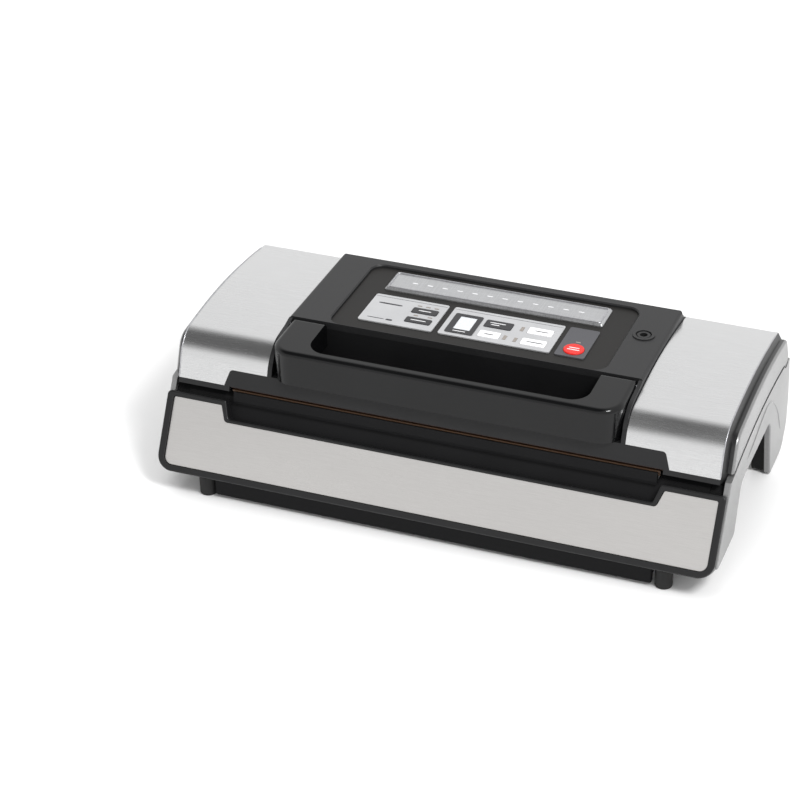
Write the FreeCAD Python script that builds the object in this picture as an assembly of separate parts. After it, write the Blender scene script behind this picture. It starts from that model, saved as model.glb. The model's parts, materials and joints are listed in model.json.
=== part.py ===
import FreeCAD, Part
import os
from math import sin, cos, tan, radians, atan2, hypot

# Countertop vacuum sealer: a base with a steel front panel, and a rear-hinged lid with two
# steel wrap-over panels, a raised control hood and a U-shaped lifting handle.
# Millimetres. +X to the user's right, -Y towards the user, +Z up, origin on the resting
# surface under the middle of the body.

V = FreeCAD.Vector

# ---- driving dimensions ----
half_width = 193.0          # outer face of the side cheeks
cheek_wall = 4.0            # thickness of the outer side cheeks
steel_edge = 186.3          # outer end of the steel lid panels
steel_gauge = 1.0           # steel sheet thickness
wall = 2.5                  # moulded shell thickness
running_gap = 0.4           # gap between the lid and the base cheeks

panel_foot_y, panel_foot_z = -97.0, 21.2      # lower edge of the leaning steel front panel
panel_lean = 30.1                             # degrees back from upright
panel_rise = 46.0                             # height of the panel up its slope
panel_half = 187.6                            # half width of the panel
notch_rise = 35.1                             # bag notch floor, up the slope
notch_top_half, notch_floor_half = 152.5, 148.6

platform_z = 66.0           # flat top of the base, where the bag mouth lies
bar_half = 146.5            # half length of the sealing bar
lid_floor_z = 72.3          # underside of the lid
hinge_y, hinge_z = 84.5, 76.0
hinge_round = 6.5           # outer radius of the lid around the hinge axis
hinge_pin_r = 2.0
pin_gap = 0.05              # radial running clearance

hood_half = 122.6           # half width of the raised control hood
hood_front_y, hood_rear_y = -24.4, 74.0
hood_front_z = 108.6
hood_fall = 1.8             # degrees, falling to the rear
recess_half = 96.0          # control recess in the hood
recess_front, recess_rear = 1.2, 90.5         # measured back from the hood's front edge
recess_depth = 3.2

handle_half = 119.5
handle_front_y = -69.6
handle_foot_z = 83.6
handle_top_z = 108.4
handle_pivot_y, handle_pivot_z = -28.8, 104.6
rail_depth = 6.4            # front to back thickness of the handle's front wall
arm_width = 23.8
handle_corner = 15.0

latch_y, latch_z = -52.0, 77.7                # axis of the latch shaft inside the lid
latch_x = 162.0                               # middle of each hook

foot_x, foot_y, foot_r = 158.8, -89.6, 5.8


# ---- outline helpers ----
def rounded(points, place):
    """Closed wire through (u, v) or (u, v, r) corners, each r rounded by a tangent arc."""
    count = len(points)
    stops = []
    for i in range(count):
        here = points[i]
        before = points[i - 1]
        after = points[(i + 1) % count]
        radius = here[2] if len(here) > 2 else 0.0
        if radius <= 0:
            stops.append((here[:2], None, here[:2]))
            continue
        ax, ay = before[0] - here[0], before[1] - here[1]
        bx, by = after[0] - here[0], after[1] - here[1]
        la, lb = hypot(ax, ay), hypot(bx, by)
        ax, ay, bx, by = ax / la, ay / la, bx / lb, by / lb
        half_turn = atan2(abs(ax * by - ay * bx), ax * bx + ay * by) / 2
        reach = radius / tan(half_turn)
        mx, my = ax + bx, ay + by
        lm = hypot(mx, my)
        depth = radius / sin(half_turn) - radius
        start = (here[0] + ax * reach, here[1] + ay * reach)
        middle = (here[0] + mx / lm * depth, here[1] + my / lm * depth)
        end = (here[0] + bx * reach, here[1] + by * reach)
        stops.append((start, middle, end))
    edges = []
    for i in range(count):
        start, middle, end = stops[i]
        if middle is not None:
            edges.append(Part.Arc(place(*start), place(*middle), place(*end)).toShape())
        following = stops[(i + 1) % count][0]
        if hypot(end[0] - following[0], end[1] - following[1]) > 1e-6:
            edges.append(Part.makeLine(place(*end), place(*following)))
    return Part.Wire(edges)


def side_wire(points, x):
    return rounded(points, lambda y, z: V(x, y, z))


def side_prism(points, x0, x1):
    """Solid with the given (y, z) outline, from x0 to x1."""
    return Part.Face(side_wire(points, x0)).extrude(V(x1 - x0, 0, 0))


def plan_prism(points, z0, z1):
    """Solid with the given (x, y) outline, from z0 to z1."""
    face = Part.Face(rounded(points, lambda x, y: V(x, y, z0)))
    return face.extrude(V(0, 0, z1 - z0))


def block(x0, x1, y0, y1, z0, z1):
    return Part.makeBox(x1 - x0, y1 - y0, z1 - z0, V(x0, y0, z0))


def rod_x(x0, x1, y, z, r):
    return Part.makeCylinder(r, x1 - x0, V(x0, y, z), V(1, 0, 0))


def rod_z(x, y, z0, z1, r):
    return Part.makeCylinder(r, z1 - z0, V(x, y, z0), V(0, 0, 1))


def slab(half, y0, y1, r, z0, z1):
    """Rounded rectangle centred on X, from z0 to z1."""
    return rounded_box(-half, half, y0, y1, r, z0, z1)


def rounded_box(x0, x1, y0, y1, r, z0, z1):
    return plan_prism([(x0, y0, r), (x1, y0, r), (x1, y1, r), (x0, y1, r)], z0, z1)


def mirrored(shape):
    return shape.mirror(V(0, 0, 0), V(1, 0, 0))


def joined(shapes):
    return shapes[0].fuse(shapes[1:]).removeSplitter()


def on_panel(shape):
    """Moves a shape drawn flat (x, up the slope, outwards) onto the leaning front."""
    moved = shape.copy()
    moved.rotate(V(0, 0, 0), V(1, 0, 0), 90 - panel_lean)
    moved.translate(V(0, panel_foot_y, panel_foot_z))
    return moved


def on_hood(shape):
    """Moves a shape drawn flat (x, back from the hood's front edge, up) onto the hood."""
    moved = shape.copy()
    moved.rotate(V(0, 0, 0), V(1, 0, 0), -hood_fall)
    moved.translate(V(0, hood_front_y, hood_front_z))
    return moved


def softened(shape, radius, keep):
    """Rounds every edge for which keep(edge) is true."""
    return shape.makeFillet(radius, [e for e in shape.Edges if keep(e)])


parts = {}


def add(name, shape):
    parts[name] = shape


def add_pair(name, right):
    """Adds a right-hand piece and its mirror image on the left."""
    parts[name + "_right"] = right
    parts[name + "_left"] = mirrored(right)


# ---- shared outlines, (y, z) ----
lid_outline = [(-68.6, 69.2), (-58.5, 100.8, 22), (20, 107.2, 430), (81.5, 96.8, 3),
               (hinge_y + hinge_round, hinge_z), (hinge_y + hinge_round, 69.5, 6.3), (60, 69.5)]
lid_side_outline = [(-60.5, 69.2), (-50.0, 94.2, 13), (20, 100.6, 380), (83.0, 92.0, 8),
                    (hinge_y + hinge_round, hinge_z), (hinge_y + hinge_round, 69.5, 6.3), (60, 69.5)]
seam_front, seam_crown, seam_rear = (-66.0, 70.2), (16.0, 77.6), (91.2, 71.1)
seam_gap = 0.7              # half the gap between the lid cheek and the base cheek
lid_edge_round = 1.8        # rounding of the lid cheek's outer edge


def seam_prism(x0, x1, shift):
    """Everything above the curved seam between lid and base, moved up by shift."""
    edge = Part.Arc(V(x0, seam_front[0], seam_front[1] + shift), V(x0, seam_crown[0], seam_crown[1] + shift),
                    V(x0, seam_rear[0], seam_rear[1] + shift)).toShape()
    corners = [V(x0, seam_rear[0], seam_rear[1] + shift), V(x0, 140, seam_rear[1] + shift), V(x0, 140, 140),
               V(x0, -140, 140), V(x0, -140, seam_front[1] + shift),
               V(x0, seam_front[0], seam_front[1] + shift)]
    face = Part.Face(Part.Wire([edge] + Part.makePolygon(corners).Edges))
    return face.extrude(V(x1 - x0, 0, 0))


# ---- base: leaning front ----
frame_back = 6.0            # front frame thickness behind the steel face
rim_proud = 1.5             # and in front of it


def panel_outline(grow, corner):
    """Steel front panel with its bag notch, grown outwards by grow."""
    half = panel_half + grow
    top, foot = panel_rise + grow, -grow
    notch_top, notch_low = notch_top_half - grow, notch_floor_half - grow
    floor = notch_rise + grow
    return [(-half, foot, corner), (half, foot, corner), (half, top, 1.5), (notch_top, top, 1.5),
            (notch_low, floor, 2.5), (-notch_low, floor, 2.5), (-notch_top, top, 1.5), (-half, top, 1.5)]


def make_front():
    steel = plan_prism(panel_outline(0, 5.5), -steel_gauge, 0)
    steel = on_panel(softened(steel, 0.3, lambda e: e.CenterOfMass.z > -0.01))
    pocket = on_panel(plan_prism(panel_outline(0.12, 5.6), -steel_gauge, 3))
    rim = plan_prism([(-192.4, -4.4, 11), (192.4, -4.4, 11), (192.4, 49.6, 3), (149.9, 49.6, 1.5),
                      (146.2, 37.4, 2.5), (-146.2, 37.4, 2.5), (-149.9, 49.6, 1.5), (-192.4, 49.6, 3)], -6, rim_proud)
    rim = softened(rim, 1.2, lambda e: e.CenterOfMass.z > rim_proud - 0.01)
    add("base_steel_panel", steel)
    add("front_frame", on_panel(rim).cut(pocket))


lean_s, lean_c = sin(radians(panel_lean)), cos(radians(panel_lean))


def behind_front(rise, depth):
    """(y, z) of a point up the front slope and some depth behind it."""
    return (panel_foot_y + rise * lean_s + depth * lean_c, panel_foot_z + rise * lean_c - depth * lean_s)


# ---- base: body shell ----
tray_half = 179.8
core_half = 148.0
tray_floor_z = 40.0
core_floor_z = 12.0
cover_screws = [(x, y) for x in (-100, 0, 100) for y in (-30, 60)]
beam_floor_z = 17.6
chamber_half, chamber_y0, chamber_y1, chamber_z = 142.0, -44.0, -17.0, 55.0
lip_y, lip_z = -68.6, 69.3                    # top of the ramp in front of the sealing bar


def beam_top_at(depth, z):
    """y of the plane a given depth behind the front at height z."""
    foot = behind_front(0, depth)
    return foot[0] + (z - foot[1]) * lean_s / lean_c


def make_base_shell():
    back = frame_back + 0.02
    front_low = (beam_top_at(back, beam_floor_z), beam_floor_z)
    front_high = (beam_top_at(back, 63.6), 63.6)
    upper = [front_low, front_high, (-62, platform_z), (90.5, platform_z, 2), (96.5, 44, 8), (96.5, tray_floor_z),
             (-44, tray_floor_z), (-50, beam_floor_z)]
    core = [(-50, core_floor_z), (-50, platform_z), (90.5, platform_z, 2), (96.5, 44, 20), (95.5, 24, 16),
            (82, core_floor_z, 10)]
    outer = joined([side_prism(upper, -tray_half, tray_half), side_prism(core, -core_half, core_half)])

    inside = back + wall
    upper_in = [(beam_top_at(inside, beam_floor_z + wall), beam_floor_z + wall),
                (beam_top_at(inside, platform_z - 6), platform_z - 6),
                (-60, platform_z - wall), (88.5, platform_z - wall), (93.8, 44), (93.8, tray_floor_z + wall),
                (-46, tray_floor_z + wall), (-52, beam_floor_z + wall)]
    core_in = [(-47.5, core_floor_z - 1), (-47.5, platform_z - wall), (88.5, platform_z - wall), (93.8, 44, 18),
               (92.8, 25, 14), (81, 14.5, 8), (78, core_floor_z - 1)]
    hollow = joined([side_prism(upper_in, wall - tray_half, tray_half - wall),
                     side_prism(core_in, wall - core_half, core_half - wall)])
    shell = outer.cut(hollow)

    well = block(-chamber_half - 3, chamber_half + 3, chamber_y0 - 3, chamber_y1 + 3, chamber_z - wall,
                 platform_z - 1)
    bar_seat = block(-bar_half - 3, bar_half + 3, -68.6, -58.2, 59, platform_z - 3)
    ramp_in = (beam_top_at(back, 51), 51)
    floor_y = beam_top_at(back, 53.1)
    ramp_wall = side_prism([(floor_y, 53.1), (lip_y, lip_z), (-66, lip_z), (-66, 60), (-69.5, 60), (floor_y, 48.5)],
                           -149, 149)
    ramp_cut = side_prism([(-110, 53.1), (floor_y, 53.1), (lip_y, lip_z), (lip_y, 90), (-110, 90)], -146, 146)
    behind_lip = side_prism([(-67.5, 64.6), (-66.2, 64.6), (-66.2, 90), (-67.5, 90)], -146, 146)
    lip = side_prism([(-69.6, 61), (lip_y - 1.4, lip_z - 2.1), (lip_y, lip_z, 0.3), (-67.5, lip_z, 0.3), (-67.5, 61)],
                     -146, 146)
    ends = joined([block(s * 146 - 1.5, s * 146 + 4, floor_y - 2, -66, 51, 64) for s in (-1, 1)])
    ends = ends.common(side_prism([front_low, front_high, (-62, 64), (-62, 40)], -160, 160))
    shell = joined([shell, well, bar_seat, ramp_wall, ends]).common(joined([outer, well]))
    shell = shell.fuse(lip).removeSplitter().cut(ramp_cut).cut(behind_lip)
    shell = shell.cut(block(-chamber_half, chamber_half, chamber_y0, chamber_y1, chamber_z, 80))
    shell = shell.cut(block(-bar_half - 0.2, bar_half + 0.2, -65.6, -60.4, 61.2, 80))
    for s in (-1, 1):
        slot = block(s * latch_x - 3.6, s * latch_x + 3.6, -61.5, -46.2, 40, 80)
        shell = shell.cut(slot)
    shell = shell.cut(rod_z(118, -30, 40, 60, 2.5))
    inlet = block(-92, -66, 80, 100, 23, 41)
    shell = shell.cut(inlet)
    for x, y in cover_screws:
        post_top = chamber_z - 1 if y < 0 else platform_z - 1
        shell = shell.fuse(rod_z(x, y, 15.2, post_top, 4).cut(rod_z(x, y, 10, 30, 1.35)))
    add("base_shell", shell)


skirt_half = 151.6


def make_bottom_cover():
    floor = [(-skirt_half, -91.8, 2), (skirt_half, -91.8, 2), (skirt_half, -53, 3), (144.5, -53, 3), (144.5, 80.5, 5),
             (-144.5, 80.5, 5), (-144.5, -53, 3), (-skirt_half, -53, 3)]
    cover = plan_prism(floor, 8.5, 11.5)
    front_rise = slab(skirt_half, -91.8, -53, 2, 11.5, 17.5).cut(slab(skirt_half - 2.5, -89.3, -55, 1.5, 10, 20))
    skirt = slab(skirt_half, -94.6, -89.0, 1.5, 2.4, 13.8)
    skirt = softened(skirt, 0.8, lambda e: e.CenterOfMass.z < 2.41)
    cover = joined([cover, front_rise, skirt])
    for x in range(-60, 61, 12):
        cover = cover.cut(rounded_box(x - 2, x + 2, 10, 50, 1.9, 5, 20))
    for x, y in cover_screws:
        cover = cover.cut(rod_z(x, y, 5, 20, 1.7)).cut(rod_z(x, y, 5, 9.7, 3.4))
        cover = cover.fuse(rod_z(x, y, 11.5, 15.0, 5).cut(rod_z(x, y, 5, 20, 1.7)))
    add("bottom_cover", cover)
    screws = []
    for x, y in cover_screws:
        screw = rod_z(x, y, 8.6, 9.7, 3.0).fuse(rod_z(x, y, 9.7, 24, 1.35))
        screws.append(screw.cut(block(x - 2, x + 2, y - 0.4, y + 0.4, 8, 9.2)))
    add("bottom_screws", Part.makeCompound(screws))


# ---- base: sides and feet ----
def cheek_outline():
    """Outer side cheek: a front leg, a wide arch, and a rear leg that tucks under."""
    front_low = beam_top_at(3.2, 18.6)
    return [(front_low, 18.6, 5), (beam_top_at(3.2, 90), 90), (91.2, 90), (100, 40, 26),
            (100, 16, 14), (88.5, 0.6, 12), (54.8, 0.6, 3), (43.6, 50.3, 9), (-35.0, 51.2, 8), (-42.5, 30, 20),
            (-46.5, 18.6, 5)]


def leg_outline():
    """Inner side frame behind the cheek, with the same arch."""
    low = beam_top_at(6.4, 19.2)
    high = beam_top_at(6.4, 62)
    return [(low, 19.2, 3), (high, 62), (-62, 65), (88.5, 65), (96.8, 40, 26), (96.8, 17, 13), (86.5, 1.5, 11),
            (56, 1.5, 3), (45.0, 51.3, 8), (-35.8, 52.2, 7), (-43.3, 31, 18), (-47.5, 19.2, 4)]


def make_sides():
    inner = half_width - cheek_wall
    cheek = side_prism(cheek_outline(), inner, half_width).cut(seam_prism(inner - 1, half_width + 1, -seam_gap))
    cheek = cheek.cut(rod_x(inner - 1, half_width + 1, hinge_y, hinge_z, hinge_round + 0.45))
    cheek = softened(cheek, 1.2, lambda e: abs(e.CenterOfMass.x - half_width) < 0.01 and e.CenterOfMass.z < 66)
    add_pair("base_cheek", cheek)
    add("front_frame", parts["front_frame"].cut([cheek, mirrored(cheek)]))
    frame = side_prism(leg_outline(), tray_half + 0.1, inner - 0.05)
    frame = frame.cut(block(0, 200, -59, 88, 55, 66).cut(block(0, 200, -70, 100, 62.5, 66)).common(
        block(tray_half + 2.6, inner - 2.6, -59, 80, 55, 62.5)))
    add_pair("side_frame", frame)
    pad = rounded_box(tray_half + 2, half_width - 3, 62, 83, 3, 0, 2.6)
    hollow = joined([parts["side_frame_right"], parts["base_cheek_right"]])
    pad = pad.cut(hollow)
    add("rear_pads", Part.makeCompound([pad, mirrored(pad)]))
    peg = rod_z(foot_x, foot_y, 0, 14.1, foot_r)
    peg = softened(peg, 0.9, lambda e: e.CenterOfMass.z < 0.1)
    peg = peg.fuse(rod_z(foot_x, foot_y + 2.4, 14.1, beam_floor_z - 0.05, foot_r - 2.6))
    add("front_feet", Part.makeCompound([peg, mirrored(peg)]))


# ---- base: sealing deck ----
def ring(half, y0, y1, r, width, z0, z1):
    """Racetrack ring of the given strip width."""
    return slab(half, y0, y1, r, z0, z1).cut(
        slab(half - width, y0 + width, y1 - width, max(r - width, 0.5), z0 - 1, z1 + 1))


def make_deck():
    tray = slab(chamber_half - 0.2, chamber_y0 + 0.2, chamber_y1 - 0.2, 4, chamber_z, platform_z + 0.4)
    tray = tray.cut(slab(chamber_half - 1.6, chamber_y0 + 1.6, chamber_y1 - 1.6, 3, chamber_z + 1.2, 80))
    tray = tray.cut(rod_z(118, -30, 50, 60, 2.5))
    add("vacuum_chamber", tray)
    add("lower_gasket", ring(150.5, -56.5, -4.5, 12, 5.0, platform_z, 70.1))
    bar = block(-bar_half, bar_half, -65.4, -60.6, 61.4, 69.4)
    bar = bar.cut(block(2 - bar_half, bar_half - 2, -64.4, -61.6, 61, 66))
    add("heating_bar", bar)
    tape = block(-bar_half - 0.8, bar_half + 0.8, -67.4, -59.2, 66.1, 70.3)
    tape = tape.cut(block(-160, 160, -65.45, -60.55, 60, 69.45))
    tape = tape.cut(block(-160, 160, -70, -66.0, 60, 69.5)).cut(block(-160, 160, -60.0, -50, 60, 69.5))
    add("ptfe_strip", tape)
    catches = []
    for s in (-1, 1):
        plate = block(s * latch_x - 6, s * latch_x + 6, -46.0, -36, 57.0, 58.6)
        plate = plate.fuse(block(s * latch_x - 6, s * latch_x + 6, -37.6, -36, 57.0, platform_z - wall))
        catches.append(plate)
    add("latch_catches", Part.makeCompound(catches))


# ---- base: inner works ----
pump_x, pump_y, pump_z = 52.0, 34.0, 31.0
hose_z = pump_z + 16.5


def make_pump():
    """Diaphragm pump: a motor lying along X drives a crank in the pump head."""
    can = rod_x(pump_x - 62, pump_x - 12, pump_y, pump_z, 14)
    can = can.cut(rod_x(pump_x - 60.5, pump_x - 13.5, pump_y, pump_z, 12.5))
    can = can.cut(rod_x(pump_x - 13.6, pump_x - 11, pump_y, pump_z, 1.55))
    add("motor_can", can)
    rotor = rod_x(pump_x - 55, pump_x - 18, pump_y, pump_z, 11.5)
    rotor = rotor.fuse(rod_x(pump_x - 55, pump_x + 6, pump_y, pump_z, 1.5)).removeSplitter()
    add("motor_rotor", rotor)
    crank = rod_x(pump_x - 6, pump_x + 4, pump_y, pump_z, 8.5).cut(rod_x(pump_x - 7, pump_x + 7, pump_y, pump_z, 1.5))
    crank = crank.fuse(rod_x(pump_x + 4, pump_x + 9, pump_y, pump_z + 4.5, 2))
    add("pump_crank", crank)
    housing = block(pump_x - 12, pump_x + 16, pump_y - 14, pump_y + 14, pump_z - 14, pump_z + 16)
    housing = housing.cut(block(pump_x - 9, pump_x + 17, pump_y - 11, pump_y + 11, pump_z - 11, pump_z + 11))
    housing = housing.cut(rod_x(pump_x - 13, pump_x - 8, pump_y, pump_z, 1.55))
    head = block(pump_x - 8, pump_x + 16, pump_y - 10, pump_y + 10, pump_z + 15, pump_z + 21)
    foot = block(pump_x - 12, pump_x - 6, pump_y - 16, pump_y + 16, 11.5, pump_z - 13)
    spigot = rod_x(pump_x + 14, pump_x + 22, pump_y, hose_z, 3)
    bore = rod_x(pump_x + 12, pump_x + 23, pump_y, hose_z, 1.6)
    housing = joined([housing, head, foot, spigot]).cut(bore)
    add("pump_housing", housing)


def hose_path():
    """Air hose: from the pump spigot, out to the side, forward and up into the chamber."""
    start = V(pump_x + 18.2, pump_y, hose_z)
    radius = 16.0
    quarter = radius * sin(radians(45))
    arc1 = Part.Arc(V(118 - radius, pump_y, start.z), V(118 - radius + quarter, pump_y - radius + quarter, start.z),
                    V(118, pump_y - radius, start.z)).toShape()
    line1 = Part.makeLine(start, V(118 - radius, pump_y, start.z))
    line2 = Part.makeLine(V(118, pump_y - radius, start.z), V(118, -27.0, start.z))
    return Part.Wire([line1, arc1, line2])


def make_hose():
    path = hose_path()
    start = V(pump_x + 18.2, pump_y, hose_z)

    def tube(radius):
        circle = Part.Wire([Part.makeCircle(radius, start, V(1, 0, 0))])
        return path.makePipeShell([circle], True, True)
    hose = tube(4.4).cut(tube(3.05))
    elbow = rod_z(118, -30, hose_z - 3, 54.9, 2.4).fuse(
        Part.makeCylinder(3.0, 8, V(118, -24, hose_z), V(0, -1, 0)))
    elbow = elbow.fuse(rod_z(118, -30, hose_z - 3, 52.4, 4.0)).removeSplitter()
    add("air_hose", hose.cut(parts["pump_housing"]).cut(elbow))
    add("hose_elbow", elbow)


def make_electrics():
    core = block(-70, -38, 10, 48, 15.5, 47).cut(block(-63, -45, 17, 24, 10, 50)).cut(
        block(-63, -45, 34, 41, 10, 50))
    core = core.fuse(block(-76, -32, 8, 50, 12.4, 15.5)).removeSplitter()
    add("transformer_core", core.cut(rod_z(-54, 45, 10, 20, 0.2)))
    coil = block(-62.8, -45.2, 17.2, 40.8, 17, 45.5)
    coil = coil.fuse(block(-66, -42, 17.2, 23.8, 47.2, 50)).removeSplitter()
    add("transformer_coil", coil.cut(parts["transformer_core"]).Solids[0])
    board = block(-140, -84, -6, 50, 18, 19.6)
    for x, y, h, r in ((-130, 8, 16, 6), (-112, 30, 20, 7), (-94, 8, 12, 5)):
        board = board.fuse(rod_z(x, y, 19.6, 19.6 + h, r))
    board = board.fuse(block(-134, -124, 26, 44, 19.6, 32))
    for x in (-137, -87):
        for y in (-3, 47):
            board = board.fuse(rod_z(x, y, 11.5, 18, 2.5))
    add("power_board", board.removeSplitter())
    socket = block(-91.8, -66.2, 84, 97.4, 23.2, 40.8).cut(block(-88, -70, 86.5, 98, 26.5, 37.5))
    pins = [Part.makeCylinder(1.2, 8, V(x, 86.5, 32), V(0, 1, 0)) for x in (-83.3, -74.7)]
    add("power_inlet", joined([socket] + pins))


def make_hinge():
    pins, brackets = [], []
    for s in (-1, 1):
        low, high = sorted((s * 144.0, s * 162.0))
        pins.append(rod_x(low, high, hinge_y, hinge_z, hinge_pin_r))
        ear_low, ear_high = sorted((s * 150.2, s * 155.8))
        ear = rod_x(ear_low, ear_high, hinge_y, hinge_z, 3.6)
        ear = ear.fuse(block(ear_low, ear_high, hinge_y - 3.6, hinge_y + 3.6, platform_z, hinge_z))
        ear = ear.fuse(block(s * 153 - 8, s * 153 + 8, hinge_y - 6, hinge_y + 3.6, platform_z, platform_z + 1.4))
        brackets.append(ear.removeSplitter().cut(pins[-1]))
    add("hinge_pins", Part.makeCompound(pins))
    add("hinge_brackets", Part.makeCompound(brackets))


# ---- lid: shells ----
def lid_solid(half):
    return side_prism(lid_outline, -half, half)


def lid_inside(half, inset):
    """The lid's solid shrunk inwards by inset all round its outline."""
    wire = side_wire(lid_outline, -half).makeOffset2D(-inset)
    return Part.Face(wire).extrude(V(2 * half, 0, 0))


def steel_outline_cut():
    """What is trimmed off the steel sheet: the step above the lid's front bar."""
    step = [(63.2, 60), (153.4, 60), (153.2, 73), (149.6, 83.4, 3), (63.2, 83.4)]
    return Part.Face(rounded(step, lambda x, z: V(x, -120, z))).extrude(V(0, 80, 0))


def make_steel():
    sheet = side_prism(lid_outline, 123.2, steel_edge).cut(lid_inside(200, steel_gauge))
    sheet = sheet.common(block(100, 200, -80, 81.6, 72.6, 120))
    sheet = sheet.cut(block(100, 200, -40, 81.5, 60, 90))
    return sheet.cut(steel_outline_cut())


def lid_flank(x0, x1):
    """Black side trim: the lid's outline shrinking to the lower cheek outline."""
    wires = [side_wire(lid_outline, x0), side_wire(lid_side_outline, x1)]
    return Part.makeLoft(wires, True, True)


def make_lid_frame(steel_right):
    edge = half_width - cheek_wall - running_gap
    outer = lid_solid(steel_edge)
    flank = lid_flank(steel_edge, edge)
    outer = outer.fuse([flank, mirrored(flank)])
    hollow = lid_inside(steel_edge - 2.8, wall + 0.3)
    open_floor = block(-183.2, 183.2, -62.6, 78, 60, 80)
    frame = outer.cut(joined([hollow, open_floor]))
    frame = frame.cut([steel_right, mirrored(steel_right)])
    centre_lift = block(-149.4, 149.4, -90, -50, 60, lid_floor_z)
    frame = frame.cut(centre_lift)

    trough_half = handle_half + 0.6
    tub = block(-trough_half - wall, trough_half + wall, -66, hood_front_y + wall, 80.9, 105)
    tub = tub.common(lid_solid(150))
    trough = block(-trough_half, trough_half, -90, hood_front_y, 83.4, 130)
    frame = frame.fuse(tub).cut(trough)
    floor_seat = block(-trough_half, trough_half, -63, hood_front_y, 80.9, 83.4)
    frame = frame.fuse(floor_seat.common(lid_solid(150)))
    hood_hole = block(-hood_half + 8, hood_half - 8, hood_front_y + wall + 2, 72, 90, 130)
    frame = frame.cut(hood_hole)

    for s in (-1, 1):
        low, high = sorted((s * 143.5, s * 162.5))
        frame = frame.fuse(rod_x(low, high, hinge_y, hinge_z, hinge_round - 0.05))
        frame = frame.cut(rod_x(low - 1, high + 1, hinge_y, hinge_z, hinge_pin_r + pin_gap))
        slot_low, slot_high = sorted((s * 149.7, s * 156.3))
        frame = frame.cut(block(slot_low, slot_high, hinge_y - 9, hinge_y + 12, 60, hinge_z + 4.6))
        frame = frame.cut(rod_x(slot_low, slot_high, hinge_y, hinge_z, 4.6))
        foot_gap = block(s * 153 - 8.6, s * 153 + 8.6, hinge_y - 12, hinge_y + 6.4, 60, 69.3)
        frame = frame.cut(foot_gap)
    for s in (-1, 1):
        post = block(s * 170 - 3, s * 170 + 3, latch_y - 5, latch_y + 5, 74.9, 110).common(lid_inside(180, 1.6))
        frame = frame.fuse(post.cut(rod_x(-200, 200, latch_y, latch_z, 2.0 + pin_gap)))
    add("lid_frame", frame)


def make_lid_sides():
    inner = half_width - cheek_wall - running_gap
    outline = [(p[0] + (0.5 if i == 0 else 0), p[1], *p[2:]) for i, p in enumerate(lid_side_outline)]
    face_x = half_width - 0.4
    start = face_x - lid_edge_round
    rims = [side_wire(outline, start)]
    for turn in (30, 60, 90):
        inset = lid_edge_round * (1 - cos(radians(turn)))
        rims.append(side_wire(outline, start + lid_edge_round * sin(radians(turn))).makeOffset2D(-inset))
    steps = [Part.makeLoft(rims[i:i + 2], True, True) for i in range(len(rims) - 1)]
    cheek = joined([side_prism(outline, inner, start)] + steps)
    knuckle = rod_x(inner - 1, half_width + 1, hinge_y, hinge_z, hinge_round - 0.05)
    cheek = cheek.common(seam_prism(inner - 1, half_width + 1, seam_gap).fuse(knuckle)).removeSplitter()
    add_pair("lid_cheek", cheek)


def make_lid_tray():
    """Cover under the lid, with the upper half of the vacuum chamber."""
    tray = slab(183.0, -62.4, 77.8, 2, lid_floor_z, lid_floor_z + 2.4)
    well = slab(chamber_half + 2, chamber_y0 - 2, chamber_y1 + 2, 5, lid_floor_z, 79.6)
    tray = tray.fuse(well).removeSplitter()
    tray = tray.cut(slab(chamber_half, chamber_y0, chamber_y1, 4, 60, 78.0))
    groove = ring(151.0, -57.0, -4.0, 12.5, 6.0, lid_floor_z - 1, lid_floor_z + 1.2)
    tray = tray.cut(groove)
    for s in (-1, 1):
        tray = tray.cut(block(s * latch_x - 3.6, s * latch_x + 3.6, -61.5, -46.2, 60, 90))
        tray = tray.cut(block(s * 153 - 9, s * 153 + 9, hinge_y - 12, hinge_y + 12, 60, 90))
    holes = [(x, y) for x in (-130, 130) for y in (20, 60)]
    for x, y in holes:
        tray = tray.cut(rod_z(x, y, 60, 90, 1.7)).cut(rod_z(x, y, 60, lid_floor_z + 1.2, 3.2))
    add("lid_tray", tray)
    add("upper_gasket", ring(150.5, -56.5, -4.5, 12, 5.0, 70.6, lid_floor_z + 1.2))
    rubber = block(-149, 149, -66.2, -62.6, 70.9, 75.2).common(lid_solid(149))
    add("pressure_rubber", rubber.cut(parts["lid_frame"]))
    screws = [rod_z(x, y, lid_floor_z - 0.2, lid_floor_z + 1.2, 2.8).fuse(rod_z(x, y, lid_floor_z + 1.2, 86, 1.35))
              for x, y in holes]
    add("lid_screws", Part.makeCompound([s.removeSplitter() for s in screws]))
    posts = [rod_z(x, y, lid_floor_z + 2.4, 102, 4) for x, y in holes]
    posts = joined(posts).common(lid_inside(180, 1.6)).cut(joined([rod_z(x, y, 60, 88, 1.35) for x, y in holes]))
    add("lid_frame", parts["lid_frame"].fuse(posts).removeSplitter())


# ---- lid: hood and controls ----
def recess_loop(grow, z):
    """Outline of the control recess at height z, grown outwards by grow."""
    low, high, half = recess_front - grow, recess_rear + grow, recess_half + grow
    corner = 9 + grow
    return rounded([(-half, low, corner), (half, low, corner), (half, high, corner), (-half, high, corner)],
                   lambda x, y: V(x, y, z))


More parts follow.
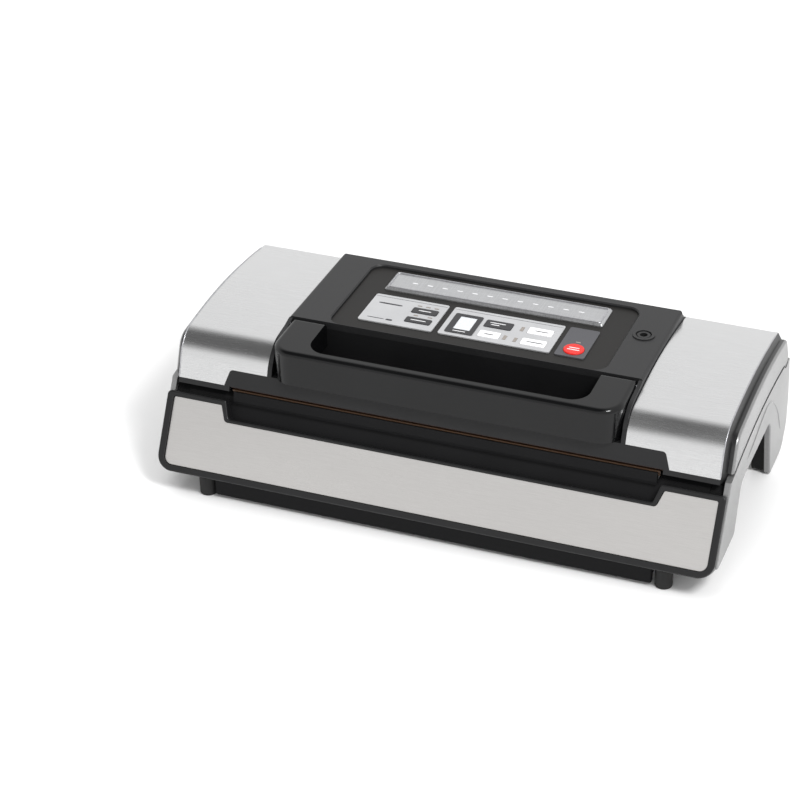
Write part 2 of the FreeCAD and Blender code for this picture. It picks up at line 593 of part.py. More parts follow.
def make_hood():
    rear = (hood_rear_y - hood_front_y) / cos(radians(hood_fall))
    body = plan_prism([(-hood_half, 0), (hood_half, 0), (hood_half, rear + 9, 4), (-hood_half, rear + 9, 4)], -14, 0)
    body = on_hood(body)
    slope = side_prism([(60, 130), (hood_rear_y + 1.5, 130), (hood_rear_y - 1.5, 104.6, 5), (83.5, 95), (110, 80),
                        (110, 130)], -150, 150)
    body = body.cut(slope)
    body = softened(body, 2.2, lambda e: e.CenterOfMass.z > 103.5 and abs(abs(e.CenterOfMass.x) - hood_half) < 0.5)
    rims = []
    for s in (-1, 1):
        low, high = sorted((s * (handle_half + 0.5), s * hood_half))
        rim = [(-63.2, 83.4), (-57, 103.4, 19), (-33, 105.9, 30), (-26, 107.6, 6), (hood_front_y, 107.6),
               (hood_front_y, 84)]
        rims.append(side_prism(rim, low, high))
    hood = joined([body] + rims)
    hood = hood.cut(lid_solid(150))
    under = block(-hood_half + 3, hood_half - 3, hood_front_y + 2.6, 71, 90, 112)
    ceiling = on_hood(block(-200, 200, -40, 140, -5.4, 10))
    hood = hood.cut(under.cut(ceiling))
    recess = rounded_box(-recess_half, recess_half, recess_front, recess_rear, 9, -recess_depth, 5)
    flare = [recess_loop(grow, z) for grow, z in ((0, -0.8), (0.9, 0.1))]
    hood = hood.cut(on_hood(recess)).cut(on_hood(Part.makeLoft(flare, True, True)))
    return hood


port_x, port_v, port_r = 107.0, 56.0, 6.6
plate_top = -1.2
overlay_top = -2.0

# name: (centre x, centre back from the hood's front edge, width, depth)
keys = {
    "mode_key": (-40.0, 38.0, 18.0, 7.2),
    "food_key": (-40.0, 24.5, 18.0, 7.2),
    "pulse_key": (12.5, 37.5, 19.0, 9.6),
    "seal_key": (10.5, 23.0, 14.5, 8.6),
    "canister_key": (41.5, 38.0, 17.0, 8.6),
    "marinate_key": (41.5, 22.5, 17.0, 8.6),
}
stop_key = (69.0, 23.2, 7.0)

# name: (x0, x1, v0, v1)
plates = {
    "mode_plate": (-79.5, -27.0, 14.0, 52.0),
    "key_plate": (-22.8, 54.8, 14.0, 52.0),
    "stop_plate": (58.2, 78.6, 13.6, 52.4),
}
# (centre x, centre back from the hood's front edge, width, depth)
lights = [(x, 44.6, 3.0, 1.2) for x in (-46, -40, -34)] + [(x, 31.2, 3.0, 1.2) for x in (-44, -34)]
lights += [(28.8, 38, 2.2, 5.6), (21.4, 23, 2.2, 5.6), (28.8, 22.5, 2.2, 5.6), (69.0, 33.4, 3.6, 1.2)]


def key_shape(x, v, width, depth, top):
    cap = rounded_box(x - width / 2, x + width / 2, v - depth / 2, v + depth / 2, 1.2, -2.6, top)
    cap = softened(cap, 0.3, lambda e: e.CenterOfMass.z > top - 0.01)
    stem = rounded_box(x - width / 4, x + width / 4, v - 2, v + 2, 0.8, -8.0, -2.6)
    return cap.fuse(stem).removeSplitter()


def make_controls(hood):
    overlay = rounded_box(0.15 - recess_half, recess_half - 0.15, recess_front + 0.15, recess_rear - 0.15, 8.8,
                          -recess_depth, overlay_top)
    openings, stems = [], []
    for x, v, width, depth in keys.values():
        openings.append(rounded_box(x - width / 2 - 0.2, x + width / 2 + 0.2, v - depth / 2 - 0.2,
                                    v + depth / 2 + 0.2, 1.4, -recess_depth - 0.1, 3))
        stems.append(rounded_box(x - width / 4 - 0.3, x + width / 4 + 0.3, v - 2.3, v + 2.3, 1, -9, 0))
    x, v, r = stop_key
    openings.append(rod_z(x, v, -recess_depth - 0.1, 3, r + 0.2))
    stems.append(rod_z(x, v, -9, 0, 3.3))
    pipes = [block(x - w / 2 - 0.1, x + w / 2 + 0.1, v - d / 2 - 0.1, v + d / 2 + 0.1, -9, plate_top)
             for x, v, w, d in lights]
    display_hole = block(-15, -3.2, 22.6, 40.6, -9, 2)
    openings = joined(openings)
    stems = joined(stems + pipes + [display_hole])

    add("control_overlay", on_hood(overlay.cut(openings).cut(stems)))
    for name, (x0, x1, v0, v1) in plates.items():
        plate = rounded_box(x0, x1, v0, v1, 1.6, overlay_top, plate_top)
        add(name, on_hood(plate.cut(openings).cut(stems)))
    bezel = rounded_box(-19.2, 0.2, 17.4, 43.6, 1.2, plate_top, plate_top + 0.5).cut(display_hole)
    add("display_bezel", on_hood(bezel))
    add("display_window", on_hood(block(-14.9, -3.3, 22.7, 40.5, -5.3, plate_top + 0.1)))
    add("indicator_lights", on_hood(Part.makeCompound(
        [rounded_box(x - w / 2, x + w / 2, v - d / 2, v + d / 2, 0.5, -5.3, plate_top + 0.12)
         for x, v, w, d in lights])))
    strip = rounded_box(-77.5, 77.5, 59.8, 84.6, 1.5, overlay_top, 0.2)
    strip = strip.makeChamfer(1.4, [e for e in strip.Edges if e.CenterOfMass.z > 0.19])
    strip = strip.cut(rounded_box(-75.4, 75.4, 61.9, 82.5, 1.0, -0.05, 1))
    add("name_strip", on_hood(strip))

    for name, (x, v, width, depth) in keys.items():
        add(name, on_hood(key_shape(x, v, width, depth, -0.75)))
    x, v, r = stop_key
    cap = softened(rod_z(x, v, -2.6, -0.3, r), 0.7, lambda e: e.CenterOfMass.z > -0.31)
    add("stop_key", on_hood(cap.fuse(rod_z(x, v, -8, -2.6, 3)).removeSplitter()))

    mat = rounded_box(-84, 84, 10, 50, 3, -10.0, -8.6)
    add("key_mat", on_hood(mat))
    board = rounded_box(-88, 88, 8, 74, 2, -11.6, -10.0)
    add("control_board", on_hood(board))

    seat = rod_z(port_x, port_v, -9, 2, port_r)
    port = rod_z(port_x, port_v, -9, 0.7, port_r).fuse(rod_z(port_x, port_v, 0.0, 0.7, port_r + 0.9))
    port = port.cut(rod_z(port_x, port_v, -0.6, 3, port_r - 1.2))
    port = port.fuse(rod_z(port_x, port_v, -9, 0.3, port_r - 2.2)).cut(rod_z(port_x, port_v, -7.5, 3, 2.6))
    add("hose_port", on_hood(port.removeSplitter()))
    hood = hood.cut(on_hood(stems)).cut(on_hood(seat))
    add("hood", hood.removeSplitter())


# ---- handle and latch ----
def make_handle():
    rear_y = handle_pivot_y + 3.8
    outer = [(-handle_half, handle_front_y, handle_corner), (handle_half, handle_front_y, handle_corner), (handle_half, rear_y),
             (-handle_half, rear_y)]
    inner_half = handle_half - arm_width
    rail_y = handle_front_y + rail_depth
    inner = [(-inner_half, rail_y, 13), (inner_half, rail_y, 13), (inner_half, 0), (-inner_half, 0)]
    body = plan_prism(outer, handle_foot_z, handle_top_z)
    body = softened(body, 3.4, lambda e: e.CenterOfMass.z > handle_top_z - 0.01
                    and e.CenterOfMass.y < rear_y - 0.5)
    body = body.cut(plan_prism(inner, 60, 130))
    under = block(-handle_half - 1, handle_half + 1, handle_front_y + handle_corner + 5, 0, 60, 90.5)
    body = body.cut(under)
    end_round = block(-150, 150, handle_pivot_y, 0, handle_pivot_z, 120).cut(
        rod_x(-150, 150, handle_pivot_y, handle_pivot_z, 3.8))
    body = body.cut(end_round)
    hollow = []
    for s in (-1, 1):
        low, high = sorted((s * (inner_half + 2.5), s * (handle_half - 3)))
        hollow.append(block(low, high, rail_y + 3, handle_pivot_y - 4.5, 80, handle_top_z - 3))
    body = body.cut(hollow)
    pins = []
    for s in (-1, 1):
        low, high = sorted((s * (handle_half - 10), s * (hood_half - 0.6)))
        pins.append(rod_x(low, high, handle_pivot_y, handle_pivot_z, 1.4))
        body = body.cut(rod_x(low - 0.3, high + 0.3, handle_pivot_y, handle_pivot_z, 1.4 + pin_gap))
    add("handle", body)
    add("handle_pins", Part.makeCompound(pins))
    add("hood", parts["hood"].cut(pins))


def make_latch():
    add("latch_shaft", rod_x(-174, 174, latch_y, latch_z, 2.0))
    hook = [(-3.2, 3), (-3.2, -23.7, 1), (4.8, -23.7, 0.6), (4.8, -20.6, 0.6), (1.0, -18.4, 1), (3.2, -4), (3.2, 3)]
    hook = [(latch_y + p[0], latch_z + p[1], *p[2:]) for p in hook]
    solid = side_prism(hook, latch_x - 2.5, latch_x + 2.5).fuse(
        rod_x(latch_x - 3, latch_x + 3, latch_y, latch_z, 4.2)).removeSplitter()
    hook = solid.cut(rod_x(0, 200, latch_y, latch_z, 2.0))
    add("latch_hooks", Part.makeCompound([hook, mirrored(hook)]))


# ---- build ----
make_front()
make_base_shell()
make_bottom_cover()
make_sides()
make_deck()
make_pump()
make_hose()
make_electrics()
make_hinge()
steel = make_steel()
add_pair("lid_steel", steel)
make_lid_frame(steel)
make_lid_sides()
make_lid_tray()
make_controls(make_hood())
make_handle()
make_latch()

os.makedirs("parts", exist_ok=True)
for name, shape in parts.items():
    solids = shape.Solids
    print(f"{name:20s} solids {len(solids)} valid {shape.isValid()} volume {shape.Volume:10.1f}")
    whole = solids[0] if len(solids) == 1 else Part.makeCompound(solids)
    whole.exportStep("parts/" + name + ".step")
print("nodes", len(parts))
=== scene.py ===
import json
import math
import bpy
import numpy as np
from mathutils import Matrix, Vector

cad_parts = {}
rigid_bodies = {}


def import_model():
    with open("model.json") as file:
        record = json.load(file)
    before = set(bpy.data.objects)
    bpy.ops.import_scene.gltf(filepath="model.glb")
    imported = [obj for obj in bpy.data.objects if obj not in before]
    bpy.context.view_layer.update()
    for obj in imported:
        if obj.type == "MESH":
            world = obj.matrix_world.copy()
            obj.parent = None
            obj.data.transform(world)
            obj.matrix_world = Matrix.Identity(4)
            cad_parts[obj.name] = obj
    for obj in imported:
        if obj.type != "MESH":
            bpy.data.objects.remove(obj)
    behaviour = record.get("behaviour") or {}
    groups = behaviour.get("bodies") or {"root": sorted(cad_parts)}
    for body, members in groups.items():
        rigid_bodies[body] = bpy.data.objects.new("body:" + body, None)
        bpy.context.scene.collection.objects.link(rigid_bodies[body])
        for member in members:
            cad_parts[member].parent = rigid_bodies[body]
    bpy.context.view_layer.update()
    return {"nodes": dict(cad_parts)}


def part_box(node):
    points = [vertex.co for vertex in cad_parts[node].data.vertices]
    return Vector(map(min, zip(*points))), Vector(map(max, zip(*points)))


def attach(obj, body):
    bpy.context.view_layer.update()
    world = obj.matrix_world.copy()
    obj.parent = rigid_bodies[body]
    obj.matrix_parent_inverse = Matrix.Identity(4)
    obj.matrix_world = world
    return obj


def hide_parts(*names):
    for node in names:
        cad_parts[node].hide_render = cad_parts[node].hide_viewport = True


for leftover in list(bpy.data.objects):
    bpy.data.objects.remove(leftover)

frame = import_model()
nodes = frame["nodes"]
print("frame loaded:", len(nodes), "nodes")


# the camera stands at the height of someone at the worktop
view = {
    "target": (-0.0723, 0.0475, 0.0094),
    "distance": 1.7555,
    "azimuth": 21.21,        # degrees round to the right
    "elevation": 32.2,
    "roll": -1.0,
    "lens": 111.7,           # mm
    "sensor": 36.0,          # mm
    "clip": (0.05, 50.0),
}


def placeCamera():
    # place = target + distance * back, where side, rise and back are the camera's own axes before the roll
    azimuth, elevation, roll = (math.radians(view[k]) for k in ("azimuth", "elevation", "roll"))
    side = Vector((math.cos(azimuth), math.sin(azimuth), 0))
    rise = Vector((-math.sin(azimuth) * math.sin(elevation), math.cos(azimuth) * math.sin(elevation),
                   math.cos(elevation)))
    back = side.cross(rise)
    right = math.cos(roll) * side + math.sin(roll) * rise
    up = math.cos(roll) * rise - math.sin(roll) * side
    data = bpy.data.cameras.new("studioCamera")
    data.lens, data.sensor_width = view["lens"], view["sensor"]
    data.clip_start, data.clip_end = view["clip"]
    camera = bpy.data.objects.new("studioCamera", data)
    camera.matrix_world = Matrix((right, up, back)).transposed().to_4x4()
    camera.matrix_world.translation = Vector(view["target"]) + back * view["distance"]
    bpy.context.scene.collection.objects.link(camera)
    bpy.context.scene.camera = camera


placeCamera()
print("camera placed")


noiseSpan = (0.3, 0.7)       # nearly all of a noise texture's values lie in here


def newMaterial(name, look):
    # principled material; the plain numbers of its look go straight on the shader's sockets
    material = bpy.data.materials.new(name)
    material.use_nodes = True
    tree = material.node_tree
    shader = next(n for n in tree.nodes if n.type == "BSDF_PRINCIPLED")
    for socket, value in look.items():
        shader.inputs[socket].default_value = value
    return material, tree, shader


def placed(tree, cells):
    # object coordinates times cells per metre: one number, or one for each axis
    coords = tree.nodes.new("ShaderNodeTexCoord")
    mapping = tree.nodes.new("ShaderNodeMapping")
    mapping.inputs["Scale"].default_value = cells if isinstance(cells, tuple) else (cells,) * 3
    tree.links.new(coords.outputs["Object"], mapping.inputs["Vector"])
    return mapping.outputs["Vector"]


def noisy(tree, cells, detail=3.0, roughness=0.55):
    # soft random noise
    node = tree.nodes.new("ShaderNodeTexNoise")
    node.inputs["Scale"].default_value = 1.0
    node.inputs["Detail"].default_value = detail
    node.inputs["Roughness"].default_value = roughness
    tree.links.new(placed(tree, cells), node.inputs["Vector"])
    return node.outputs["Fac"]


def celled(tree, cells):
    # distance to the nearest of a scatter of points
    node = tree.nodes.new("ShaderNodeTexVoronoi")
    node.inputs["Scale"].default_value = 1.0
    tree.links.new(placed(tree, cells), node.inputs["Vector"])
    return node.outputs["Distance"]


def banded(tree, cells, direction, distortion=0.0):
    # smooth stripes, from 0 to 1 and back
    node = tree.nodes.new("ShaderNodeTexWave")
    node.wave_type, node.bands_direction = "BANDS", direction
    node.inputs["Scale"].default_value = 1.0
    node.inputs["Distortion"].default_value = distortion
    tree.links.new(placed(tree, cells), node.inputs["Vector"])
    return node.outputs["Fac"]


def ranged(tree, value, span, result):
    # a value between the ends of span becomes the same share of the way between the ends of result
    node = tree.nodes.new("ShaderNodeMapRange")
    for socket, number in zip(("From Min", "From Max", "To Min", "To Max"), (*span, *result)):
        node.inputs[socket].default_value = number
    tree.links.new(value, node.inputs["Value"])
    return node.outputs["Result"]


def tinted(tree, factor, first, second):
    # first + factor * (second - first), each a fixed colour or another node's
    node = tree.nodes.new("ShaderNodeMix")
    node.data_type = "RGBA"
    for index, colour in ((6, first), (7, second)):
        if isinstance(colour, tuple):
            node.inputs[index].default_value = (*colour, 1)
        else:
            tree.links.new(colour, node.inputs[index])
    tree.links.new(factor, node.inputs[0])
    return node.outputs[2]


def reckoned(tree, operation, first, second):
    # one sum on two values, each a fixed number or another node's
    node = tree.nodes.new("ShaderNodeMath")
    node.operation = operation
    for index, value in enumerate((first, second)):
        if isinstance(value, (int, float)):
            node.inputs[index].default_value = value
        else:
            tree.links.new(value, node.inputs[index])
    return node.outputs[0]


def weighed(tree, first, second, share):
    # (1 - share) * first + share * second
    weights = ((first, 1 - share), (second, share))
    return reckoned(tree, "ADD", *(reckoned(tree, "MULTIPLY", value, weight) for value, weight in weights))


def dressed(tree, shader, colour, roughness, height=None, strength=0.0, depth=0.0):
    # colour and roughness go to the shader, and a height pattern of that depth in metres tips its normal
    tree.links.new(colour, shader.inputs["Base Color"])
    tree.links.new(roughness, shader.inputs["Roughness"])
    if height is not None:
        node = tree.nodes.new("ShaderNodeBump")
        node.inputs["Strength"].default_value = strength
        node.inputs["Distance"].default_value = depth
        tree.links.new(height, node.inputs["Height"])
        tree.links.new(node.outputs["Normal"], shader.inputs["Normal"])


lidSteel = {
    "grainLength": 0.016,    # m, one brush stroke
    "grainWidth": 0.00022,
    "fineness": 3,           # the second set of strokes is this much finer
    "fineShare": 0.35,
    "dark": (0.63, 0.632, 0.635),
    "light": (0.76, 0.762, 0.765),
    "toneSpan": (0.32, 0.68),
    "roughness": (0.20, 0.30),
    "hazeCells": (9, 22, 22),
    "hazeRoughness": (-0.03, 0.05),
    "strength": 0.35,
    "depth": 0.000018,
}
panelSteel = dict(lidSteel, dark=(0.590, 0.576, 0.562), light=(0.690, 0.676, 0.662), roughness=(0.26, 0.36))
drawnAluminium = dict(lidSteel, grainLength=0.05, dark=(0.60, 0.60, 0.61), light=(0.78, 0.78, 0.79))


def brushedSteel(name, look):
    # long thin streaks along X in colour, roughness and height, under a faint wiped haze
    material, tree, shader = newMaterial(name, {"Metallic": 1.0})
    strokes = (1 / look["grainLength"], 1 / look["grainWidth"], 1 / look["grainWidth"])
    grain = noisy(tree, strokes, 4.0, 0.7)
    fine = noisy(tree, tuple(look["fineness"] * s for s in strokes), 2.0, 0.6)
    haze = noisy(tree, look["hazeCells"], 3.0, 0.5)
    streak = weighed(tree, grain, fine, look["fineShare"])
    colour = tinted(tree, ranged(tree, streak, look["toneSpan"], (0, 1)), look["dark"], look["light"])
    rough = reckoned(tree, "ADD", ranged(tree, streak, noiseSpan, look["roughness"]),
                     ranged(tree, haze, noiseSpan, look["hazeRoughness"]))
    dressed(tree, shader, colour, rough, streak, look["strength"], look["depth"])
    return material


mouldedLooks = {
    # colour, specular level, roughness low and high, grain cells per metre, grain depth in metres
    "housingBlack": ((0.0075, 0.0075, 0.0080), 0.10, (0.42, 0.54), 2600, 0.00003),
    "frameBlack": ((0.0100, 0.0100, 0.0105), 0.32, (0.28, 0.36), 3200, 0.00001),
    "hoodBlack": ((0.0170, 0.0170, 0.0177), 0.26, (0.32, 0.40), 3000, 0.000015),
    "handleBlack": ((0.0026, 0.0027, 0.0030), 0.32, (0.12, 0.17), 3400, 0.000006),
    "overlayFilm": ((0.0170, 0.0162, 0.0155), 0.11, (0.34, 0.42), 5200, 0.000006),
    "chamberBlack": ((0.0100, 0.0100, 0.0110), 0.35, (0.30, 0.42), 2200, 0.00002),
    "keyCharcoal": ((0.0260, 0.0260, 0.0280), 0.3, (0.34, 0.42), 4200, 0.000008),
    "keyWhite": ((0.74, 0.74, 0.75), 0.4, (0.30, 0.38), 4200, 0.000008),
    "keyRed": ((0.62, 0.014, 0.009), 0.4, (0.26, 0.34), 4200, 0.000008),
    "stopGrey": ((0.070, 0.070, 0.077), 0.3, (0.40, 0.48), 4800, 0.000006),
    "printInk": ((0.035, 0.035, 0.040), 0.3, (0.45, 0.55), 5200, 0.000004),
    "printWhite": ((0.72, 0.72, 0.73), 0.4, (0.40, 0.50), 5200, 0.000004),
}
mouldedGrain = {
    "cloudCells": 26,        # per metre
    "cloudGain": 1.16,       # a light patch is the colour times this
    "cloudLift": 0.0008,     # plus this
    "strength": 0.5,
}


def mouldedPlastic(name):
    # spark-eroded grain: fine noise in height, with faint cloudy changes of tone and polish
    colour, specular, roughness, cells, depth = mouldedLooks[name]
    look = mouldedGrain
    material, tree, shader = newMaterial(name, {"Specular IOR Level": specular})
    grain = noisy(tree, cells, 3.0, 0.6)
    cloud = noisy(tree, look["cloudCells"], 4.0, 0.55)
    lighter = tuple(min(1.0, c * look["cloudGain"] + look["cloudLift"]) for c in colour)
    dressed(tree, shader, tinted(tree, ranged(tree, cloud, noiseSpan, (0, 1)), colour, lighter),
            ranged(tree, cloud, noiseSpan, roughness), grain, look["strength"], depth)
    return material


silverLook = {
    "dark": (0.225, 0.225, 0.226),
    "light": (0.315, 0.315, 0.316),
    "flakeCells": 2400,      # per metre
    "flakeSpan": (0.1, 0.8),
    "flakeMetal": (0.76, 0.72),
    "cloudCells": 14,
    "roughness": (0.30, 0.40),
    "strength": 0.15,
    "depth": 0.00002,
    "inside": (0.010, 0.010, 0.0105),
    "blackInside": (0.1908, 0.1912),    # |x| in metres where the lid cheeks turn from black to silver
}


def silverPaint(name, blackInside=None):
    # metallic flake paint: tiny cells that differ in tone under a satin clear coat
    look = silverLook
    material, tree, shader = newMaterial(name, {"Coat Weight": 0.25, "Coat Roughness": 0.25})
    flake = celled(tree, look["flakeCells"])
    cloud = noisy(tree, look["cloudCells"])
    colour = tinted(tree, ranged(tree, flake, look["flakeSpan"], (0, 1)), look["light"], look["dark"])
    metal = ranged(tree, flake, (0, 1), look["flakeMetal"])
    if blackInside is not None:
        split = tree.nodes.new("ShaderNodeSeparateXYZ")
        tree.links.new(placed(tree, 1), split.inputs[0])
        outside = ranged(tree, reckoned(tree, "ABSOLUTE", split.outputs["X"], 0), blackInside, (0, 1))
        colour = tinted(tree, outside, look["inside"], colour)
        metal = reckoned(tree, "MULTIPLY", metal, outside)
    tree.links.new(metal, shader.inputs["Metallic"])
    dressed(tree, shader, colour, ranged(tree, cloud, noiseSpan, look["roughness"]),
            flake, look["strength"], look["depth"])
    return material


rubberLook = {
    "clean": (0.014, 0.014, 0.014),
    "dusty": (0.030, 0.029, 0.028),
    "dustCells": 90,         # per metre
    "dustSpan": (0.45, 0.75),
    "roughness": (0.62, 0.82),
    "speckleCells": 1800,
    "strength": 0.5,
    "depth": 0.00008,
}


def softRubber():
    # finely pitted skin with dust lying in clouds
    look = rubberLook
    material, tree, shader = newMaterial("softRubber", {"Specular IOR Level": 0.35})
    speckle = noisy(tree, look["speckleCells"], 4.0, 0.7)
    dust = noisy(tree, look["dustCells"], 4.0, 0.6)
    colour = tinted(tree, ranged(tree, dust, look["dustSpan"], (0, 1)), look["clean"], look["dusty"])
    dressed(tree, shader, colour, ranged(tree, dust, noiseSpan, look["roughness"]),
            speckle, look["strength"], look["depth"])
    return material


foamLook = {
    "skin": (0.045, 0.045, 0.048),
    "pit": (0.020, 0.020, 0.021),
    "poreCells": 1500,       # per metre
    "poreSpan": (0.1, 0.7),
    "skinCells": 300,
    "roughness": (0.72, 0.92),
    "strength": 0.7,
    "depth": 0.0002,
}


def closedFoam():
    # gasket foam: skin broken by small open cells
    look = foamLook
    material, tree, shader = newMaterial("closedFoam", {"Specular IOR Level": 0.2, "Sheen Weight": 0.15})
    pores = celled(tree, look["poreCells"])
    skin = noisy(tree, look["skinCells"])
    colour = tinted(tree, ranged(tree, pores, look["poreSpan"], (0, 1)), look["skin"], look["pit"])
    dressed(tree, shader, colour, ranged(tree, skin, noiseSpan, look["roughness"]),
            pores, look["strength"], look["depth"])
    return material


siliconeLook = {
    "dark": (0.030, 0.012, 0.009),
    "light": (0.045, 0.018, 0.013),
    "grainCells": 1400,      # per metre
    "roughness": (0.45, 0.6),
    "strength": 0.3,
    "depth": 0.00003,
}


def siliconeRubber():
    # dark red-brown rubber with a fine even grain
    look = siliconeLook
    material, tree, shader = newMaterial("siliconeRubber", {"Specular IOR Level": 0.45})
    grain = noisy(tree, look["grainCells"])
    colour = tinted(tree, ranged(tree, grain, noiseSpan, (0, 1)), look["dark"], look["light"])
    dressed(tree, shader, colour, ranged(tree, grain, noiseSpan, look["roughness"]),
            grain, look["strength"], look["depth"])
    return material


tapeLook = {
    "dark": (0.030, 0.014, 0.006),
    "light": (0.075, 0.036, 0.015),
    "threads": 1300,         # wave scale per metre, along and across
    "roughness": (0.5, 0.3),
    "strength": 0.5,
    "depth": 0.00008,
}


def wovenTape():
    # glass cloth coated with brown non-stick resin: two crossed sets of ribs, multiplied
    look = tapeLook
    material, tree, shader = newMaterial("wovenTape", {"Specular IOR Level": 0.5})
    weave = reckoned(tree, "MULTIPLY", *(banded(tree, cells, "DIAGONAL")
                                         for cells in ((look["threads"], 0, 0), (0, look["threads"], 0))))
    dressed(tree, shader, tinted(tree, weave, look["dark"], look["light"]),
            ranged(tree, weave, (0, 1), look["roughness"]), weave, look["strength"], look["depth"])
    return material


platedLook = {
    "light": (0.58, 0.58, 0.60),
    "dark": (0.44, 0.44, 0.46),
    "patchCells": 420,       # per metre
    "patchSpan": (0.0, 0.9),
    "scratchCells": (120, 4000, 4000),
    "roughness": (0.28, 0.48),
    "strength": 0.2,
    "depth": 0.00002,
}


def platedSteel():
    # zinc plating: dull crystalline patches and fine scratches
    look = platedLook
    material, tree, shader = newMaterial("platedSteel", {"Metallic": 1.0})
    patch = celled(tree, look["patchCells"])
    scratch = noisy(tree, look["scratchCells"], 3.0, 0.7)
    colour = tinted(tree, ranged(tree, patch, look["patchSpan"], (0, 1)), look["light"], look["dark"])
    dressed(tree, shader, colour, ranged(tree, scratch, noiseSpan, look["roughness"]),
            scratch, look["strength"], look["depth"])
    return material


bandedLooks = {
    # valley, ridge, metallic, wave scale per metre
    "coreLaminations": ((0.10, 0.10, 0.11), (0.30, 0.30, 0.31), 0.9, 420),
    "copperWindings": ((0.25, 0.08, 0.03), (0.62, 0.26, 0.12), 0.8, 640),
}
bandedRidge = {"waver": 0.3, "roughness": (0.55, 0.34), "strength": 0.6, "depth": 0.0002}


def bandedMetal(name):
    # stacked laminations or wound wire: narrow bands along X
    valley, ridge, metallic, cells = bandedLooks[name]
    look = bandedRidge
    material, tree, shader = newMaterial(name, {"Metallic": metallic})
    bands = banded(tree, cells, "X", look["waver"])
    dressed(tree, shader, tinted(tree, bands, valley, ridge), ranged(tree, bands, (0, 1), look["roughness"]),
            bands, look["strength"], look["depth"])
    return material


boardLook = {
    "track": (0.012, 0.105, 0.035),
    "lacquer": (0.006, 0.055, 0.020),
    "trackCells": (190, 190, 8),
    "trackEdge": (0.30, 0.36),
    "roughness": (0.28, 0.4),
    "strength": 0.4,
    "depth": 0.00005,
}


def solderMask():
    # green lacquer over copper tracks
    look = boardLook
    material, tree, shader = newMaterial("solderMask", {"Specular IOR Level": 0.55, "Coat Weight": 0.3})
    edge = ranged(tree, celled(tree, look["trackCells"]), look["trackEdge"], (0, 1))
    dressed(tree, shader, tinted(tree, edge, look["track"], look["lacquer"]),
            ranged(tree, edge, (0, 1), look["roughness"]), edge, look["strength"], look["depth"])
    return material


filmLook = {
    "dark": (0.44, 0.445, 0.455),
    "light": (0.50, 0.505, 0.515),
    "pearl": (0.58, 0.58, 0.59),
    "pearlCells": 5200,      # per metre
    "pearlSpan": (0.35, 0.65),
    "pearlShare": (0, 0.5),
    "cloudCells": 45,
    "roughness": (0.34, 0.46),
    "strength": 0.15,
    "depth": 0.00001,
}


def silverFilm():
    # printed control film: fine pearl over a faintly cloudy silver
    look = filmLook
    material, tree, shader = newMaterial("silverFilm", {"Metallic": 0.35, "Specular IOR Level": 0.5})
    pearl = noisy(tree, look["pearlCells"], 2.0, 0.6)
    cloud = noisy(tree, look["cloudCells"])
    base = tinted(tree, ranged(tree, cloud, noiseSpan, (0, 1)), look["dark"], look["light"])
    colour = tinted(tree, ranged(tree, pearl, look["pearlSpan"], look["pearlShare"]), base, look["pearl"])
    dressed(tree, shader, colour, ranged(tree, pearl, noiseSpan, look["roughness"]),
            pearl, look["strength"], look["depth"])
    return material


badgeLook = {
    "dark": (0.40, 0.405, 0.415),
    "light": (0.56, 0.565, 0.575),
    "alongCells": (70, 3600, 3600),
    "acrossCells": (2600, 90, 90),
    "acrossShare": 0.4,
    "toneSpan": (0.35, 0.65),
    "roughness": (0.26, 0.40),
    "strength": 0.3,
    "depth": 0.00002,
}


def engravedAluminium():
    # satin badge metal: short cross-hatched strokes under a clear lacquer
    look = badgeLook
    material, tree, shader = newMaterial("engravedAluminium", {"Metallic": 0.85, "Coat Weight": 0.3})
    along = noisy(tree, look["alongCells"], 3.0, 0.7)
    across = noisy(tree, look["acrossCells"], 2.0, 0.6)
    hatch = weighed(tree, along, across, look["acrossShare"])
    colour = tinted(tree, ranged(tree, hatch, look["toneSpan"], (0, 1)), look["dark"], look["light"])
    dressed(tree, shader, colour, ranged(tree, hatch, noiseSpan, look["roughness"]),
            hatch, look["strength"], look["depth"])
    return material


hazyLooks = {
    # plain numbers, haze cells per metre, first colour, second colour, roughness low and high
    "clearHose": ({"Specular IOR Level": 0.5, "Transmission Weight": 0.35}, 120,
                  (0.68, 0.70, 0.66), (0.80, 0.81, 0.78), (0.22, 0.36)),
    "displayGlass": ({"Coat Weight": 0.6, "Coat Roughness": 0.08}, 500,
                     (0.60, 0.62, 0.65), (0.72, 0.74, 0.76), (0.22, 0.30)),
    "lightPipe": ({"Coat Weight": 0.4}, 900, (0.20, 0.17, 0.15), (0.30, 0.27, 0.24), (0.25, 0.38)),
}


def hazyClear(name):
    # smooth clear plastic or glass with a haze that changes its tone and polish
    plain, cells, first, second, roughness = hazyLooks[name]
    material, tree, shader = newMaterial(name, plain)
    haze = noisy(tree, cells)
    dressed(tree, shader, tinted(tree, haze, first, second), ranged(tree, haze, noiseSpan, roughness))
    return material


finishes = {
    "steel": brushedSteel("lidSteel", lidSteel),
    "panelSteel": brushedSteel("panelSteel", panelSteel),
    "aluminium": brushedSteel("drawnAluminium", drawnAluminium),
    "badge": engravedAluminium(),
    "silver": silverPaint("silverPaint"),
    "silverTrim": silverPaint("silverTrim", silverLook["blackInside"]),
    "rubber": softRubber(),
    "foam": closedFoam(),
    "silicone": siliconeRubber(),
    "tape": wovenTape(),
    "plated": platedSteel(),
    "laminations": bandedMetal("coreLaminations"),
    "windings": bandedMetal("copperWindings"),
    "board": solderMask(),
    "hose": hazyClear("clearHose"),
    "film": silverFilm(),
    "glass": hazyClear("displayGlass"),
    "pipe": hazyClear("lightPipe"),
}
finishes.update({name: mouldedPlastic(name) for name in mouldedLooks})

